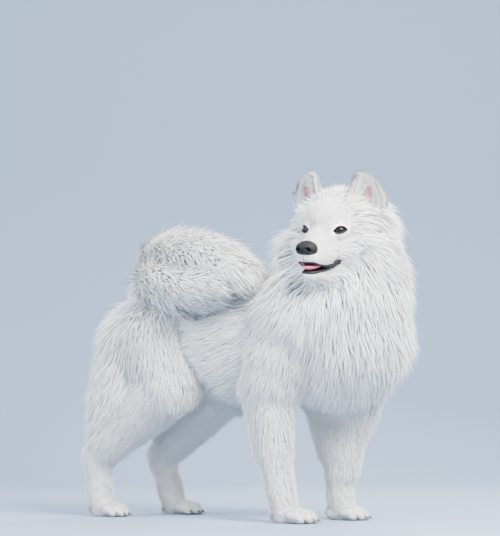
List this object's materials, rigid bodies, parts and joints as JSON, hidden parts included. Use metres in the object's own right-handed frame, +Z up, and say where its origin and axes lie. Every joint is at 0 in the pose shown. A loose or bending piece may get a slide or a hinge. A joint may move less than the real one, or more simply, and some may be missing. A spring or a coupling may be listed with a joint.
{
  "type": "samoyed",
  "caption": "Life-size standing samoyed with a thick white coat, head turned to its right, mouth a little open and tail curled over its back.",
  "frame": {"origin": "on the floor, at the middle of the bounding box", "axes": "+X towards the chest, +Y towards the animal's left, +Z up"},
  "size_m": [0.7458, 0.358, 0.7085],
  "materials": {
    "white_coat": "soft long hair",
    "eye": "wet gloss",
    "nose_leather": "damp and grained",
    "tongue": "moist"
  },
  "bodies": {
    "root": {"fore_paw_left": "white_coat", "fore_paw_right": "white_coat", "foreleg_left": "white_coat", "foreleg_right": "white_coat", "hind_paw_left": "white_coat", "hind_paw_right": "white_coat", "hind_shank_left": "white_coat", "hind_shank_right": "white_coat", "thigh_left": "white_coat", "thigh_right": "white_coat", "head": "white_coat", "neck": "white_coat", "torso": "white_coat", "tail_base": "white_coat", "tail_middle": "white_coat", "tail_tip": "white_coat", "jaw": "white_coat", "ear_left": "white_coat", "ear_right": "white_coat", "eye_left": "eye", "eye_right": "eye", "nose": "nose_leather", "tongue": "tongue"}
  },
  "joints": []
}
